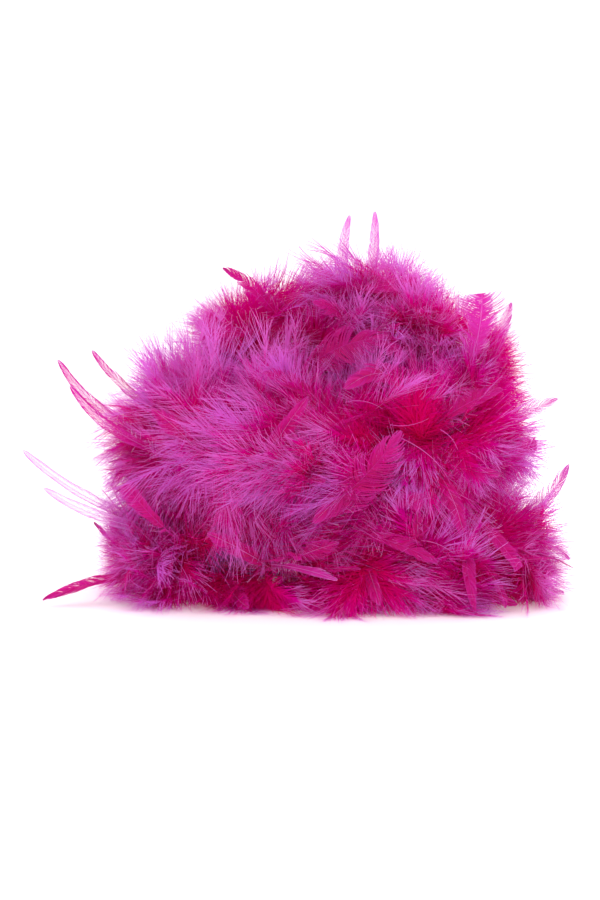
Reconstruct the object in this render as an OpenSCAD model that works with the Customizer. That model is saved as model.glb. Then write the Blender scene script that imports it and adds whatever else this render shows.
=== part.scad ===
// Feather boa lying in a loose heap on a flat surface: one twisted cord, wound into two layers and
// a top run, carries down plumage all round and longer bladed feathers that stand out of the down.
// +Z is up and -Y is the front. The origin is on the surface, under the middle of the overall box.
// All sizes are in millimetres.

/* [Cord] */
// Diameter of the twisted core cord
cord_d = 6; // [4:0.5:8]
// Length of bare cord at each end, which the thread binding covers
bare_end = 12; // [8:1:20]
// Diameter of the end knots
knot_d = 15; // [11:1:20]
// Length of the end knots along the cord
knot_l = 13; // [9:1:18]
// Middle diameter of the hanging loops
loop_d = 24; // [18:1:36]
// Diameter of the thinner cord of the hanging loops
loop_cord_d = 3; // [2:0.5:4]
// Length of the thread binding
binding_l = 8; // [5:1:12]
// Diameter of the binding thread
thread_d = 0.8; // [0.6:0.1:1.2]

/* [Plumage] */
// Outer diameter of the dense down around the cord, which also spaces the turns of the heap
plumage_d = 76; // [60:1:92]
// Depth of the hollows between the tufts, as a share of the radius
lobe_depth = 0.08; // [0:0.01:0.15]
// Gap between neighbouring stretches of down
stretch_gap = 1.2; // [0.6:0.2:4]
// Clearance between the cord and the down around it
bore_clearance = 0.6; // [0.3:0.1:1.5]

/* [Bladed feathers] */
// Length of a bladed feather from its root to its tip
blade_l = 76; // [60:1:92]
// Width of a bladed feather's vane
blade_w = 17; // [12:1:24]
// Thickness of a bladed feather at its quill
blade_t = 1.4; // [1:0.1:2.5]
// Bladed feathers on each stretch that shows
blades_outside = 5; // [3:1:6]
// Bladed feathers on each buried stretch
blades_inside = 3; // [2:1:4]

/* [Motion] */
// How far the top end lifts off the heap, in degrees
top_lift = 45; // [20:5:45]
// How far the base end swings out from under the heap, in degrees
base_swing = 35; // [15:5:40]

/* [Hidden] */
// the plumage diameter that the route's points below were chosen for
route_plumage_d = 76;
route_scale = plumage_d / route_plumage_d;
// how far the heap's middle lies right of the overall box's middle
heap_x = 29;
plumage_r = plumage_d / 2;
cord_r = cord_d / 2;
bore_r = cord_r + bore_clearance;

// the cord's route, from the base end to the top end, as the control points of a smooth curve
ROUTE = [
  [126, 82, 30], [84, 84, 30], [42, 85, 30], [0, 86, 30], [-44, 88, 30], [-96, 72, 30],
  [-128, 27, 30], [-128, -27, 30], [-96, -72, 30], [-44, -88, 30], [0, -86, 30], [44, -86, 30],
  [86, -87, 30], [126, -68, 30], [126, -18, 30], [86, 2, 30], [44, 0, 30], [2, 0, 28],
  [-44, 0, 42], [-44, 0, 100], [2, 0, 116], [40, 0, 115], [66, 0, 114], [97, 18, 114],
  [97, 68, 114], [66, 88, 114], [32, 84, 114], [-6, 82, 114], [-44, 82, 114], [-88, 66, 114],
  [-116, 25, 114], [-116, -25, 114], [-88, -66, 114], [-42, -84, 114], [4, -84, 114],
  [54, -86, 112], [114, -68, 132], [114, -18, 188], [60, -2, 204], [12, 0, 195], [-32, 8, 190],
  [-74, 22, 186]
];
SPANS = len(ROUTE) - 1;

// route points at which one stretch of plumage ends and the next begins
STRETCHES = [0, 2, 5, 8, 11, 14, 17, 20, 23, 26, 29, 32, 35, 38, 41];
STRETCH_COUNT = len(STRETCHES) - 1;
// stretches that other turns of the boa bury, counted from 1
BURIED = [6, 7, 8];
// the two stretches that move, and the route points of their hinges
BASE_STRETCH = 1;
TOP_STRETCH = STRETCH_COUNT;
BASE_HINGE = STRETCHES[1];
TOP_HINGE = STRETCHES[STRETCH_COUNT - 1];
// opening left in the cord at each side of a hinge, so that its ends clear at the widest bend
widest_bend = max(top_lift, base_swing);
hinge_gap = cord_r * tan(widest_bend / 2) + 0.4;
// radius and set-back of the down at a hinge, which tapers there to leave room for the bend
hinge_end_r = bore_r + 3;
hinge_setback = hinge_end_r * tan(widest_bend / 2) + 0.6;

// rings for each span of the route, and sides round the cord and the plumage
STEPS = 2;
CORD_SIDES = 8;
DOWN_SIDES = 12;
// rings along a bladed feather
BLADE_RINGS = 7;
// share of a blade's length that is bare quill, and how far the quill stands off the cord
QUILL_SHARE = 0.18;
ROOT_STANDOFF = 0.5;
// how far a blade's tip stands from the cord, as a share of its length, outside and buried
OUTSIDE_REACH = 0.79;
BURIED_REACH = 0.34;
BURIED_LENGTH = 0.55;
// share of a stretch along which blades are rooted, and how far they fan out round the cord
ROOTED_SHARE = 0.7;
FAN_ANGLE = 34;
// lowest height of a blade's tip over the surface
TIP_FLOOR = 6;
// share of the inner bend radius that the down may fill
BEND_FILL = 0.8;
// turn of the tufts' pattern from one ring to the next, in degrees
LOBE_TURN = 40;
LOBES = 3;

// ---- nodes -----------------------------------------------------------------

function two_digits(k) = k < 10 ? str("0", k) : str(k);
function down_name(k) = str("down_stretch_", two_digits(k));
function blades_name(k) = str("bladed_feathers_", two_digits(k));

// single feathers that give the heap its outline, each [root, tip, bow, vane width, facing]
STRAYS = [
  ["left_spike_feathers", [
    [[-100, -28, 118], [-187, -52, 190], [-14, 0, -16], 9, [0, -1, 0.2]],
    [[-96, -14, 136], [-163, -26, 196], [-12, 0, -4], 8, [0, -1, 0.2]],
    [[-90, -62, 112], [-174, -84, 172], [-16, 0, -12], 8, [0, -1, 0.2]]
  ]],
  ["left_wisp_feathers", [
    [[-104, -16, 52], [-219, -30, 116], [-8, 0, -18], 8, [0, -1, 0.4]],
    [[-92, -54, 52], [-196, -84, 92], [-6, 0, -14], 9, [0, -1, 0.4]]
  ]],
  ["low_left_feather", [
    [[-84, -76, 24], [-196, -98, 6], [-10, -6, 12], 15, [0, -0.5, 1]]
  ]],
  ["crown_feathers", [
    [[38, -4, 214], [44, -14, 304], [-8, 0, 0], 10, [0, -1, 0]],
    [[52, -6, 214], [64, -18, 307], [8, 0, 2], 10, [0, -1, 0]]
  ]],
  ["upper_left_feather", [
    [[-6, -10, 212], [-57, -46, 262], [0, -8, 14], 15, [0, -1, 0.6]]
  ]],
  ["fan_feather", [
    [[138, -46, 176], [146, -64, 243], [8, -6, 0], 36, [0, -1, 0.2]]
  ]],
  ["right_quill_feather", [
    [[126, -62, 112], [178, -84, 152], [18, 0, -12], 4, [0, -1, 0]]
  ]],
  ["right_tuft_feathers", [
    [[158, -34, 42], [219, -42, 106], [10, 0, -12], 15, [0, -1, 0]],
    [[156, -58, 34], [216, -74, 34], [14, 0, 22], 14, [0, -1, 0]]
  ]],
  ["front_blade_feathers", [
    [[84, -90, 120], [14, -136, 72], [0, -26, 14], 22, [0, -1, 0]],
    [[106, -62, 156], [38, -120, 172], [0, -12, 36], 20, [0, -1, 0.3]],
    [[104, -94, 116], [128, -136, 62], [4, -26, 8], 15, [0, -1, 0]]
  ]],
  ["front_low_feathers", [
    [[-2, -92, 28], [2, -154, 46], [0, 0, 18], 15, [0.2, -0.3, 1]],
    [[136, -90, 40], [160, -132, 6], [6, -6, 12], 14, [0.6, -0.4, 1]]
  ]],
  ["back_stray_feathers", [
    [[30, 94, 34], [22, 150, 62], [0, 0, 16], 16, [0.2, 0, 1]],
    [[-34, 90, 120], [-64, 146, 150], [0, 4, 12], 16, [-0.2, 0, 1]]
  ]]
];
STRAY_NAMES = [for (s = STRAYS) s[0]];

// ---- the route as a smooth curve --------------------------------------------

function unit(v) = v / norm(v);
function placed(p) = [p.x * route_scale + heap_x, p.y * route_scale, p.z * route_scale];
PLACED = [for (p = ROUTE) placed(p)];
PADDED = concat(
  [2 * PLACED[0] - PLACED[1]],
  PLACED,
  [2 * PLACED[SPANS] - PLACED[SPANS - 1]]
);

// a uniform cubic spline: each span is worked out from four control points
function span_of(u) = min(SPANS - 1, max(0, floor(u)));
function blend_of(i, w) = w[0] * PADDED[i] + w[1] * PADDED[i + 1] + w[2] * PADDED[i + 2]
  + w[3] * PADDED[i + 3];
function place_weights(t) = [
  pow(1 - t, 3), 3 * t * t * t - 6 * t * t + 4, -3 * t * t * t + 3 * t * t + 3 * t + 1, t * t * t
] / 6;
function slope_weights(t) = [
  -pow(1 - t, 2), 3 * t * t - 4 * t, -3 * t * t + 2 * t + 1, t * t
] / 2;
function turn_weights(t) = [1 - t, 3 * t - 2, 1 - 3 * t, t];
function centre_at(u) = blend_of(span_of(u), place_weights(u - span_of(u)));
function slope_at(u) = blend_of(span_of(u), slope_weights(u - span_of(u)));
function along_at(u) = unit(slope_at(u));
// the curvature vector points to the inside of the bend, and its length is one over the radius
function bend_at(u) =
  let (s = slope_at(u), a = blend_of(span_of(u), turn_weights(u - span_of(u))), d = unit(s))
  (a - (a * d) * d) / (s * s);

// a side direction carried along the route without twisting about it
function squared_up(v, d) = unit(v - (v * d) * d);
RING_COUNT = SPANS * STEPS;
SIDES = [
  for (j = 0, v = squared_up([0, 0, 1], along_at(0)); j <= RING_COUNT;
    j = j + 1, v = squared_up(v, along_at(min(SPANS, j / STEPS)))) v
];
function side_at(j) = SIDES[j];
function spoke(j, angle) =
  let (d = along_at(j / STEPS), a = side_at(j))
  cos(angle) * a + sin(angle) * cross(d, a);

// ---- swept solids -------------------------------------------------------------

// faces between neighbouring rings of n points, first ring number a, with the rings' order kept
function skin(rings, n, first, inward) = [
  for (r = [0:rings - 2], i = [0:n - 1])
    let (a = first + r * n + i, b = first + r * n + (i + 1) % n)
    each inward ? [[a, b, b + n], [a, b + n, a + n]] : [[a, b + n, b], [a, a + n, b + n]]
];
function rim(n, outer, inner, inward) = [
  for (i = [0:n - 1])
    let (a = outer + i, b = outer + (i + 1) % n, c = inner + i, d = inner + (i + 1) % n)
    each inward ? [[a, b, d], [a, d, c]] : [[a, d, b], [a, c, d]]
];
function shifted_centre(j, first, last, lead, trail) =
  centre_at(j / STEPS) + along_at(j / STEPS) * (j == first ? lead : j == last ? -trail : 0);

// a plain round tube along the route, from ring number a to ring number b
module cord_tube(a, b, lead, trail) {
  n = CORD_SIDES;
  rings = b - a + 1;
  points = [
    for (j = [a:b], i = [0:n - 1])
      shifted_centre(j, a, b, lead, trail) + cord_r * spoke(j, i * 360 / n)
  ];
  polyhedron(points, concat(
    skin(rings, n, 0, false),
    [[for (i = [0:n - 1]) i]],
    [[for (i = [n - 1:-1:0]) (rings - 1) * n + i]]
  ));
}

// how far the down reaches from the cord: full outside a bend, pressed thin inside it
function down_reach(j, angle) =
  let (
    lobe = 1 - lobe_depth * (0.5 - 0.5 * cos(LOBES * angle + LOBE_TURN * j)),
    inside = bend_at(j / STEPS) * spoke(j, angle)
  )
  inside <= 0 ? plumage_r * lobe : min(plumage_r * lobe, BEND_FILL / inside);
// the first layer's cord runs closer to the surface than the down's radius, so its down lies flat
function on_surface(p) = [p.x, p.y, max(0, p.z)];

// one stretch of down around the cord, with a bore for it
module down_stretch(k) {
  n = DOWN_SIDES;
  a = STRETCHES[k - 1] * STEPS;
  b = STRETCHES[k] * STEPS;
  rings = b - a + 1;
  hinge_before = STRETCHES[k - 1] == BASE_HINGE || STRETCHES[k - 1] == TOP_HINGE;
  hinge_after = STRETCHES[k] == BASE_HINGE || STRETCHES[k] == TOP_HINGE;
  lead = k == BASE_STRETCH ? bare_end : hinge_before ? hinge_setback : stretch_gap / 2;
  trail = k == TOP_STRETCH ? bare_end : hinge_after ? hinge_setback : stretch_gap / 2;
  function reach(j, angle) =
    j == a && hinge_before || j == b && hinge_after ? hinge_end_r : down_reach(j, angle);
  outer = [
    for (j = [a:b], i = [0:n - 1])
      on_surface(shifted_centre(j, a, b, lead, trail) + reach(j, i * 360 / n) * spoke(j, i * 360 / n))
  ];
  bore = [
    for (j = [a:b], i = [0:n - 1])
      shifted_centre(j, a, b, lead, trail) + bore_r * spoke(j, i * 360 / n)
  ];
  last = (rings - 1) * n;
  polyhedron(concat(outer, bore), concat(
    skin(rings, n, 0, false),
    skin(rings, n, rings * n, true),
    rim(n, 0, rings * n, true),
    rim(n, last, rings * n + last, false)
  ));
}

// ---- bladed feathers --------------------------------------------------------------

// a quadratic curve from root to tip, pushed aside in the middle by bow
function curve_point(root, tip, bow, t) =
  pow(1 - t, 2) * root + 2 * t * (1 - t) * ((root + tip) / 2 + bow) + t * t * tip;
function curve_slope(root, tip, bow, t) =
  (1 - t) * ((tip - root) / 2 + bow) + t * ((tip - root) / 2 - bow);
// half width of the vane: a thin quill, then a rounded blade that ends in a narrow tip
function vane_half(width, t) =
  let (v = max(0, (t - QUILL_SHARE) / (1 - QUILL_SHARE)))
  blade_t / 2 + (width - blade_t) / 2 * pow(sin(180 * pow(v, 1.2)), 0.7);

// one feather: a closed blade, thickest along its quill and sharp at both edges
module feather(root, tip, bow, width, facing) {
  n = 4;
  points = [
    for (r = [0:BLADE_RINGS - 1])
      let (
        t = r / (BLADE_RINGS - 1),
        p = curve_point(root, tip, bow, t),
        d = unit(curve_slope(root, tip, bow, t)),
        side = unit(cross(d, facing)),
        out = cross(side, d),
        half = vane_half(width, t),
        thick = blade_t / 2 * (1 - 0.5 * t)
      )
      each [p + side * half, p + out * thick, p - side * half, p - out * thick]
  ];
  polyhedron(points, concat(
    skin(BLADE_RINGS, n, 0, false),
    [[for (i = [0:n - 1]) i]],
    [[for (i = [n - 1:-1:0]) (BLADE_RINGS - 1) * n + i]]
  ));
}

// the direction that faces away from the heap's middle, square to the cord
HEAP_CORE_Z = 60;
function outward_at(u) =
  let (c = centre_at(u))
  squared_up([c.x - heap_x, 1.3 * c.y, 0.8 * (c.z - HEAP_CORE_Z * route_scale)], along_at(u));
function raised(p) = [p.x, p.y, max(TIP_FLOOR, p.z)];

// the feathers of one stretch, rooted in turn along it and fanned to both sides
module bladed_feathers(k) {
  buried = len(search(k, BURIED)) > 0;
  count = buried ? blades_inside : blades_outside;
  length = blade_l * (buried ? BURIED_LENGTH : 1);
  reach = blade_l * (buried ? BURIED_REACH : OUTSIDE_REACH);
  lean = sqrt(length * length - reach * reach) * (k == BASE_STRETCH ? -1 : 1);
  span = STRETCHES[k] - STRETCHES[k - 1];
  first = STRETCHES[k - 1] + (k == BASE_STRETCH ? 1 - ROOTED_SHARE : 0.06) * span;
  for (i = [0:count - 1]) {
    u = first + ROOTED_SHARE * span * i / count;
    d = along_at(u);
    out = outward_at(u);
    angle = FAN_ANGLE * (i % 2 == 0 ? 1 : -1) * (1 - i / (2 * count));
    n = cos(angle) * out + sin(angle) * cross(d, out);
    root = centre_at(u) + n * (cord_r + blade_t / 2 + ROOT_STANDOFF);
    tip = raised(centre_at(u) + lean * d + reach * n);
    feather(root, tip, n * reach * 0.16, blade_w * (1 - 0.08 * i), unit(cross(n, d) + n * 0.5));
  }
}
// a point of the heap, which grows about its middle with the plumage
function on_heap(p) = [(p.x - heap_x) * route_scale + heap_x, p.y * route_scale, p.z * route_scale];
module stray_feathers(s) {
  for (f = s[1]) feather(on_heap(f[0]), on_heap(f[1]), f[2] * route_scale, f[3], unit(f[4]));
}

// ---- the two ends of the cord --------------------------------------------------------

// sets the local Z axis on direction d at point p
module facing_along(p, d) {
  translate(p) rotate([0, acos(d.z), atan2(d.y, d.x)]) children();
}
// direction out of the boa at its base end and at its top end, and the cord's last point there
function out_of_end(top) = top ? along_at(SPANS) : -along_at(0);
function end_point(top) = centre_at(top ? SPANS : 0);

// two crossed turns of cord pulled tight, as a barrel with a groove round its middle
module knot(top) {
  turn_r = knot_l / 4;
  facing_along(end_point(top), out_of_end(top))
    rotate_extrude($fn = 48)
      union() {
        square([knot_d / 2 - turn_r, knot_l]);
        for (z = [turn_r, knot_l - turn_r])
          translate([knot_d / 2 - turn_r, z]) circle(r = turn_r, $fn = 32);
      }
}
// a ring of thinner cord whose legs go into the knot, and which hangs down from it
LOOP_DROOP = 58;
LOOP_BITE = 1.5;
module hanging_loop(top) {
  d = out_of_end(top);
  level = unit([d.x, d.y, 0]);
  hang = cos(LOOP_DROOP) * level - sin(LOOP_DROOP) * [0, 0, 1];
  middle = end_point(top) + d * knot_l + hang * (loop_d / 2 + loop_cord_d / 2 - LOOP_BITE);
  facing_along(middle, unit(cross(level, [0, 0, 1])))
    rotate_extrude($fn = 64)
      translate([loop_d / 2, 0]) circle(d = loop_cord_d, $fn = 24);
}
// turns of thread that lock the last feathers on the bare end of the cord
BINDING_CLEARANCE = 0.05;
module thread_binding(top) {
  turns = floor(binding_l / thread_d);
  inner_r = cord_r + BINDING_CLEARANCE;
  facing_along(end_point(top), -out_of_end(top))
    translate([0, 0, (bare_end - binding_l) / 2])
      rotate_extrude($fn = 48)
        union() {
          translate([inner_r, 0]) square([thread_d / 2, turns * thread_d]);
          for (i = [0:turns - 1])
            translate([inner_r + thread_d / 2, (i + 0.5) * thread_d]) circle(d = thread_d, $fn = 16);
        }
}

// ---- the parts ---------------------------------------------------------------------------

DEEP = [0.55, 0.03, 0.3];
DOWN_COLOUR = [0.76, 0.1, 0.52];
BLADE_COLOUR = [0.86, 0.2, 0.62];

module core_cord() {
  color(DEEP) cord_tube(BASE_HINGE * STEPS, TOP_HINGE * STEPS, hinge_gap, hinge_gap);
}
module core_cord_base_end() {
  color(DEEP) cord_tube(0, BASE_HINGE * STEPS, 0, hinge_gap);
}
module core_cord_top_end() {
  color(DEEP) cord_tube(TOP_HINGE * STEPS, RING_COUNT, hinge_gap, 0);
}

core_cord();
core_cord_base_end();
core_cord_top_end();
color(DEEP) knot(false);  // base_knot
color(DEEP) knot(true);  // top_knot
color(DEEP) hanging_loop(false);  // base_hanging_loop
color(DEEP) hanging_loop(true);  // top_hanging_loop
color(DEEP) thread_binding(false);  // base_thread_binding
color(DEEP) thread_binding(true);  // top_thread_binding
for (k = [1:STRETCH_COUNT])
  color(DOWN_COLOUR) down_stretch(k);
for (k = [1:STRETCH_COUNT])
  color(BLADE_COLOUR) bladed_feathers(k);
for (s = STRAYS)
  color(BLADE_COLOUR) stray_feathers(s);
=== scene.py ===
import math

import bpy
import numpy as np
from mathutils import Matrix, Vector


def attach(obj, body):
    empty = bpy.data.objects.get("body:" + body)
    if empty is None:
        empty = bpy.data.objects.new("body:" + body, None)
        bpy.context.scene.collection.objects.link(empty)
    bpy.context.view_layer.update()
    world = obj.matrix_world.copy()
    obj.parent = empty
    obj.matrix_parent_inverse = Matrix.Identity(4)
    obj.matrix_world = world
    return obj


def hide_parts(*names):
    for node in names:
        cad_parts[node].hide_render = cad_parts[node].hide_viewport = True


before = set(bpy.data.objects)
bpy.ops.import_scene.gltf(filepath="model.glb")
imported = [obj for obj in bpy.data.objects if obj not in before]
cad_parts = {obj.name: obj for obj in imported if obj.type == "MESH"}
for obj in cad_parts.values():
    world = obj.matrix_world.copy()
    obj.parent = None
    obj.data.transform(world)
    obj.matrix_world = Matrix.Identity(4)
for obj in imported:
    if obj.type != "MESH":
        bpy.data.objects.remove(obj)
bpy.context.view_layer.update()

MM = 0.001

# ---- the cord's route, as in the CAD ------------------------------------------------

HEAP_X = 29  # moves the route along x, so that the heap's box is centred
CORD_D = 6
ROUTE = [
    (126, 82, 30), (84, 84, 30), (42, 85, 30), (0, 86, 30), (-44, 88, 30), (-96, 72, 30),
    (-128, 27, 30), (-128, -27, 30), (-96, -72, 30), (-44, -88, 30), (0, -86, 30), (44, -86, 30),
    (86, -87, 30), (126, -68, 30), (126, -18, 30), (86, 2, 30), (44, 0, 30), (2, 0, 28),
    (-44, 0, 42), (-44, 0, 100), (2, 0, 116), (40, 0, 115), (66, 0, 114), (97, 18, 114),
    (97, 68, 114), (66, 88, 114), (32, 84, 114), (-6, 82, 114), (-44, 82, 114), (-88, 66, 114),
    (-116, 25, 114), (-116, -25, 114), (-88, -66, 114), (-42, -84, 114), (4, -84, 114),
    (54, -86, 112), (114, -68, 132), (114, -18, 188), (60, -2, 204), (12, 0, 195), (-32, 8, 190),
    (-74, 22, 186),
]
# the route points where one stretch of down ends and the next begins
STRETCHES = [0, 2, 5, 8, 11, 14, 17, 20, 23, 26, 29, 32, 35, 38, 41]
STRETCH_COUNT = len(STRETCHES) - 1
BURIED = (6, 7, 8)  # stretches inside the heap
BASE_STRETCH = 1
TOP_STRETCH = STRETCH_COUNT
BASE_HINGE = STRETCHES[1]
TOP_HINGE = STRETCHES[-2]
FINE = 24  # samples of the route for each span
HINGE_GAP = 1.64 * MM  # opening left in the cord at each side of a hinge


def unit(v):
    """Every vector along the last axis, made one long."""
    return v / np.maximum(np.linalg.norm(v, axis=-1, keepdims=True), 1e-12)


def spline(points, steps):
    """A uniform cubic spline over control points, sampled steps times a span."""
    p = np.array(points, float)
    p = np.vstack([2 * p[0] - p[1], p, 2 * p[-1] - p[-2]])
    spans = len(p) - 3
    u = np.arange(spans * steps + 1) / steps
    i = np.minimum(u.astype(int), spans - 1)
    t = (u - i)[:, None]
    weights = [(1 - t) ** 3, 3 * t**3 - 6 * t**2 + 4, -3 * t**3 + 3 * t**2 + 3 * t + 1, t**3]
    return sum(w * p[i + k] for k, w in enumerate(weights)) / 6


def carried_sides(along):
    """A side direction carried along the route without twisting about it."""
    side = np.zeros_like(along)
    v = np.array([0.0, 0.0, 1.0])
    for n, d in enumerate(along):
        v = unit(v - (v @ d) * d)
        side[n] = v
    return side


class Route:
    """The cord's middle line, with a direction and two side directions at every sample."""

    def __init__(self):
        placed = [((x + HEAP_X) * MM, y * MM, z * MM) for x, y, z in ROUTE]
        self.centre = spline(placed, FINE)
        self.along = unit(np.gradient(self.centre, axis=0))
        self.side = carried_sides(self.along)
        self.other = np.cross(self.along, self.side)
        steps = np.linalg.norm(np.diff(self.centre, axis=0), axis=1)
        self.station = np.concatenate([[0.0], np.cumsum(steps)])
        self.length = self.station[-1]

    def station_of(self, point):
        return self.station[int(round(point * FINE))]

    def at(self, station):
        """The middle, the direction and the two side directions at each station."""

        def pick(values):
            return np.stack([np.interp(station, self.station, values[:, k]) for k in range(3)], -1)

        return pick(self.centre), unit(pick(self.along)), unit(pick(self.side)), unit(pick(self.other))


route = Route()
# 10 mm higher than the CAD's, which turns the feathers on the cord by a few degrees
HEAP_MIDDLE = np.array([HEAP_X * MM, 0.0, 0.07])
OUTWARD_PULL = np.array([1.0, 1.3, 0.8])  # outward turns a little more to the front and back


def squared(v, d):
    """The part of v that is square to d, as a direction."""
    return unit(v - (v * d).sum(-1, keepdims=True) * d)


def outward_at(centre, along):
    """The direction that faces away from the heap's middle, square to the cord."""
    return squared((centre - HEAP_MIDDLE) * OUTWARD_PULL, along)


# ---- camera, lights and floor ---------------------------------------------------------

LENS = 80
SENSOR = 36
DISTANCE = 1.64
ELEVATION = math.radians(6)
AIM = Vector((0.004, 0.0, 0.113))

LIGHT_SIZE = 1.4
# name, place, aim, power and colour of each light
LIGHTS = [
    ("key", (-0.9, -1.3, 1.5), (0, 0, 0.12), 9, (1.0, 0.98, 0.98)),
    ("fill", (1.3, -1.2, 0.7), (0, 0, 0.12), 4, (1.0, 0.98, 1.0)),
    ("rim", (0.3, 1.2, 1.5), (0, 0, 0.15), 8, (1.0, 0.99, 1.0)),
]

# the paper sheet: a floor that bends up into a wall far behind the object
FLOOR_HALF = 6.0
FLOOR_FRONT = -6.0
WALL_Y = 5.0
WALL_TOP = 6.0
BEND_R = 1.5
BEND_STEPS = 12
PAPER = (0.96, 0.955, 0.96, 1)
PAPER_GLOW = 0.22
WHITE = (1, 1, 1, 1)


def add_camera():
    data = bpy.data.cameras.new("camera")
    data.lens = LENS
    data.sensor_width = SENSOR
    camera = bpy.data.objects.new("camera", data)
    bpy.context.collection.objects.link(camera)
    back = Vector((0, -math.cos(ELEVATION), math.sin(ELEVATION)))
    camera.location = AIM + back * DISTANCE
    camera.rotation_euler = (-back).to_track_quat("-Z", "Y").to_euler()
    bpy.context.scene.camera = camera


def add_light(name, place, aim, power, colour):
    data = bpy.data.lights.new(name, "AREA")
    data.shape = "DISK"
    data.size = LIGHT_SIZE
    data.energy = power
    data.color = colour
    light = bpy.data.objects.new(name, data)
    bpy.context.collection.objects.link(light)
    light.location = place
    light.rotation_euler = (Vector(aim) - Vector(place)).to_track_quat("-Z", "Y").to_euler()


def add_stage():
    """A white world and a sheet of paper under and behind the object."""
    world = bpy.data.worlds.new("studio")
    world.use_nodes = True
    background = world.node_tree.nodes["Background"]
    background.inputs["Color"].default_value = WHITE
    background.inputs["Strength"].default_value = 1.0
    bpy.context.scene.world = world
    # plain studio exposure: white paper stays white and dyed colours keep their full strength
    bpy.context.scene.view_settings.view_transform = "Standard"

    bend_y = WALL_Y - BEND_R
    profile = [(FLOOR_FRONT, 0.0), (bend_y, 0.0)]
    for n in range(1, BEND_STEPS + 1):
        a = n / BEND_STEPS * math.pi / 2
        profile.append((bend_y + BEND_R * math.sin(a), BEND_R - BEND_R * math.cos(a)))
    profile.append((WALL_Y, WALL_TOP))
    verts = [(x, y, z) for y, z in profile for x in (-FLOOR_HALF, FLOOR_HALF)]
    faces = [(2 * n, 2 * n + 1, 2 * n + 3, 2 * n + 2) for n in range(len(profile) - 1)]
    mesh = bpy.data.meshes.new("studio_floor")
    mesh.from_pydata(verts, [], faces)
    mesh.polygons.foreach_set("use_smooth", [True] * len(faces))
    floor = bpy.data.objects.new("studio_floor", mesh)
    bpy.context.collection.objects.link(floor)
    material = bpy.data.materials.new("studio_paper")
    material.use_nodes = True
    shader = material.node_tree.nodes["Principled BSDF"]
    shader.inputs["Base Color"].default_value = PAPER
    shader.inputs["Roughness"].default_value = 0.9
    shader.inputs["Emission Color"].default_value = WHITE
    shader.inputs["Emission Strength"].default_value = PAPER_GLOW
    mesh.materials.append(material)


add_camera()
add_stage()
for light_row in LIGHTS:
    add_light(*light_row)


# ---- materials ------------------------------------------------------------------------

COLOUR_MAP = "OFBake"  # u picks a feather's own tint; v runs from its root to its tips and carries the painted shade and light
QUILL_V = 0.03  # where on v the pale quills lie
BARB_V = 0.1  # where on v the barbs' roots start
SHEEN_ROUGHNESS = 0.4
YARN_BUMP = 0.3 * MM


def ramp(nodes, stops, name):
    """A colour ramp with a stop at each place."""
    node = nodes.new("ShaderNodeValToRGB")
    node.name = name
    elements = node.color_ramp.elements
    while len(elements) < len(stops):
        elements.new(0.5)
    for element, (place, colour) in zip(elements, stops):
        element.position = place
        element.color = (*colour, 1)
    return node


def feather_material(
    name, along_stops, tint_stops, roughness, specular, sheen, sheen_tint, through
):
    """Colours along each feather, a tint for each one, and light that shines through it."""
    material = bpy.data.materials.new(name)
    material.use_nodes = True
    nodes = material.node_tree.nodes
    links = material.node_tree.links
    shader = nodes["Principled BSDF"]
    output = nodes["Material Output"]
    place = nodes.new("ShaderNodeUVMap")
    place.uv_map = COLOUR_MAP
    split = nodes.new("ShaderNodeSeparateXYZ")
    links.new(place.outputs["UV"], split.inputs[0])
    along = ramp(nodes, along_stops, "root_to_tip")
    tint = ramp(nodes, tint_stops, "tint_of_each_feather")
    links.new(split.outputs["Y"], along.inputs["Fac"])
    links.new(split.outputs["X"], tint.inputs["Fac"])
    mix = nodes.new("ShaderNodeMix")
    mix.data_type = "RGBA"
    mix.blend_type = "MULTIPLY"
    mix.inputs["Factor"].default_value = 1
    links.new(along.outputs["Color"], mix.inputs[6])
    links.new(tint.outputs["Color"], mix.inputs[7])
    links.new(mix.outputs[2], shader.inputs["Base Color"])
    shader.inputs["Roughness"].default_value = roughness
    shader.inputs["Specular IOR Level"].default_value = specular
    shader.inputs["Sheen Weight"].default_value = sheen
    shader.inputs["Sheen Roughness"].default_value = SHEEN_ROUGHNESS
    shader.inputs["Sheen Tint"].default_value = (*sheen_tint, 1)
    glow = nodes.new("ShaderNodeBsdfTranslucent")
    links.new(mix.outputs[2], glow.inputs["Color"])
    blend = nodes.new("ShaderNodeMixShader")
    blend.inputs["Fac"].default_value = through
    links.new(shader.outputs[0], blend.inputs[1])
    links.new(glow.outputs[0], blend.inputs[2])
    links.new(blend.outputs[0], output.inputs["Surface"])
    return material


def yarn_material(name, dark, light, scale, roughness):
    """Dyed yarn: fine streaks of two tones, with a matching bump."""
    material = bpy.data.materials.new(name)
    material.use_nodes = True
    nodes = material.node_tree.nodes
    links = material.node_tree.links
    shader = nodes["Principled BSDF"]
    place = nodes.new("ShaderNodeTexCoord")
    noise = nodes.new("ShaderNodeTexNoise")
    noise.inputs["Scale"].default_value = scale
    noise.inputs["Detail"].default_value = 4
    links.new(place.outputs["Object"], noise.inputs["Vector"])
    tone = ramp(nodes, [(0.35, dark), (0.65, light)], "yarn_tones")
    links.new(noise.outputs["Fac"], tone.inputs["Fac"])
    links.new(tone.outputs["Color"], shader.inputs["Base Color"])
    bump = nodes.new("ShaderNodeBump")
    bump.inputs["Strength"].default_value = 0.6
    bump.inputs["Distance"].default_value = YARN_BUMP
    links.new(noise.outputs["Fac"], bump.inputs["Height"])
    links.new(bump.outputs["Normal"], shader.inputs["Normal"])
    shader.inputs["Roughness"].default_value = roughness
    shader.inputs["Sheen Weight"].default_value = 0.3
    return material


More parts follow.
